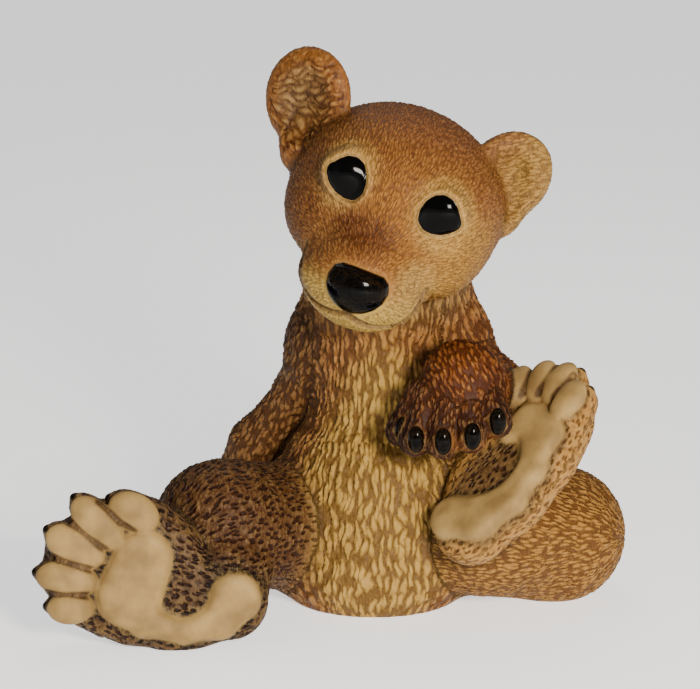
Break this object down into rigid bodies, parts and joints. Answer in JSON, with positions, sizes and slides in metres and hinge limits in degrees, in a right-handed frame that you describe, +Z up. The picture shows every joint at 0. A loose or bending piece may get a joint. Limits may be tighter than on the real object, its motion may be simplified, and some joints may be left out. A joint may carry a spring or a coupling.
{
  "type": "bear figurine",
  "caption": "Seated bear cub figurine cast in painted resin, head tilted, one forepaw laid on a raised hind foot.",
  "frame": {"origin": "on the ground under the middle of the figure's box", "axes": "+Z up, +X to the viewer's right, -Y towards the viewer whom the face and the soles look at"},
  "size_m": [0.2942, 0.1774, 0.2834],
  "materials": {
    "painted_resin": "cast resin painted in browns and washed darker in the carving, satin, with gloss black eyes, nose and claws"
  },
  "bodies": {
    "root": {"bear_figurine": "painted_resin"}
  },
  "joints": []
}
